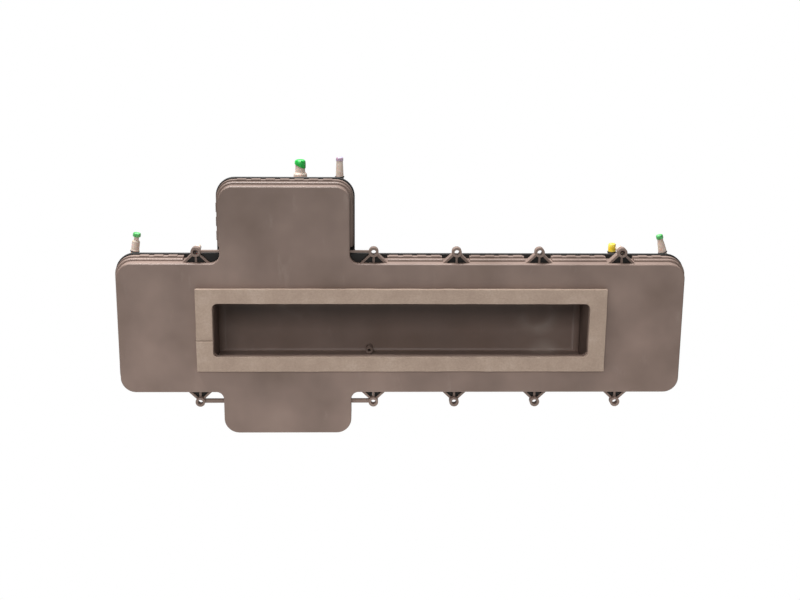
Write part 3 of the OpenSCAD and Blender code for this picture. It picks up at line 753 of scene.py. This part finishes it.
# %% Filter and outlet
PLAIN_PIECES = [
    ("filter_frame", "filter", "filter_frame_plastic", FRAME_NYLON, 0.3),
    ("filter_seal", "filter", "filter_rubber", POLYURETHANE, 0.8),
    ("outlet_spigot", "rear", "rear_plastic", REAR, 0.5),
    ("outlet_seal", "rear", "black_rubber", RUBBER, 0.4),
    ("outlet_screws", "rear", "screw_steel", ZINC, 0.25),
    ("filter_screen", "rear", "steel_mesh", SCREEN_STEEL, 0.15),
    ("filter_media", "filter", "filter_paper", PAPER, 0.1),
]
for node, body, slot, material, width in PLAIN_PIECES:
    piece = cad_copy(node, node + "_finished")
    soften(piece, width * MM)
    smooth(piece)
    place_piece(piece, body, slot, material, node)

# %% [markdown]
# Long flat walls of polypropylene would drum and sag, so the back wall carries low
# ribs. One rib is modelled, with drafted sides as the mould needs, and copied along
# the wall.

# %% Ribs on the back wall
RIB_LONG = 116 * MM
RIB_WIDE = 3 * MM
RIB_HIGH = 1.6 * MM
RIB_PITCH = 45 * MM
nothing_selected()
bpy.ops.mesh.primitive_cube_add(size=1, scale=(RIB_WIDE, 2 * RIB_HIGH, RIB_LONG))
rib = bpy.context.object
bpy.ops.object.transform_apply(scale=True)
pick(rib, "FACE", lambda face: face.normal.y > 0.9)
bpy.ops.transform.resize(value=(0.5, 1, 0.985))
bpy.ops.object.mode_set(mode="OBJECT")
soften(rib, 0.4 * MM, segments=3)
upright_xs = [i * RIB_PITCH for i in range(-6, 7)]
ribs = []
for x in upright_xs:
    copy = bpy.data.objects.new("rib", rib.data.copy())
    copy.location = (x, REAR_Y, 0.5 * MM)
    bpy.context.scene.collection.objects.link(copy)
    ribs.append(copy)
for z in (-30 * MM, 31 * MM):
    copy = bpy.data.objects.new("long rib", rib.data.copy())
    copy.location = (0, REAR_Y, z)
    copy.rotation_euler.y = math.radians(90)
    copy.scale.z = 560 * MM / RIB_LONG
    bpy.context.scene.collection.objects.link(copy)
    ribs.append(copy)
bpy.data.objects.remove(rib)
nothing_selected()
for copy in ribs:
    copy.select_set(True)
bpy.context.view_layer.objects.active = ribs[0]
bpy.ops.object.transform_apply(location=True, rotation=True, scale=True)
bpy.ops.object.join()
ribs[0].name = "back_wall_ribs"
smooth(ribs[0])
place_piece(ribs[0], "rear", "rear_plastic", REAR)

# %% [markdown]
# The studio is plain: a large soft light above on the left, a weaker one in front that
# reaches into the slot, a pale world and a white floor. What the camera sees of the world and
# the floor is pure white, while the light that they give the object is weaker, so that
# the slot's inside stays dark.

# %% Studio
AMBIENT = 0.28
FLOOR_DROP = 0.5


def soft_light(name, at, towards, size, power):
    data = bpy.data.lights.new(name, "AREA")
    data.shape = "RECTANGLE"
    data.size, data.size_y = size
    data.energy = power
    light = bpy.data.objects.new(name, data)
    light.location = at
    direction = Vector(towards) - Vector(at)
    light.rotation_euler = direction.to_track_quat("-Z", "Y").to_euler()
    bpy.context.scene.collection.objects.link(light)


soft_light("overhead", (-0.45, 0.28, 1.85), (-0.05, 0.03, 0), (2.0, 0.9), 100)
soft_light("front_fill", (-0.35, -2.6, 1.35), (0, 0, 0), (1.2, 0.7), 30)

world = bpy.data.worlds.new("white studio")
world.use_nodes = True
sky = world.node_tree
seen = add(sky, "ShaderNodeLightPath").outputs["Is Camera Ray"]
sky.links.new(span(sky, seen, AMBIENT, 1.0, 0, 1), sky.nodes["Background"].inputs["Strength"])
sky.nodes["Background"].inputs["Color"].default_value = colour("#ffffff")
bpy.context.scene.world = world

nothing_selected()
bpy.ops.mesh.primitive_plane_add(size=60, location=(0, 20, cad_box[0][2] - FLOOR_DROP))
floor = bpy.context.object
floor.name = "floor"
floor_paint, floor_tree, floor_shader, _ = new_material("white studio floor", 0.9)
floor_shader.inputs["Base Color"].default_value = colour("#d8d8d6")
glow = add(floor_tree, "ShaderNodeEmission", values={"Color": colour("#ffffff")})
seen = add(floor_tree, "ShaderNodeLightPath").outputs["Is Camera Ray"]
shown = add(floor_tree, "ShaderNodeMixShader", {0: seen, 1: floor_shader.outputs[0], 2: glow.outputs[0]})
floor_tree.links.new(shown.outputs[0], floor_tree.nodes["Material Output"].inputs["Surface"])
floor.data.materials.append(floor_paint)
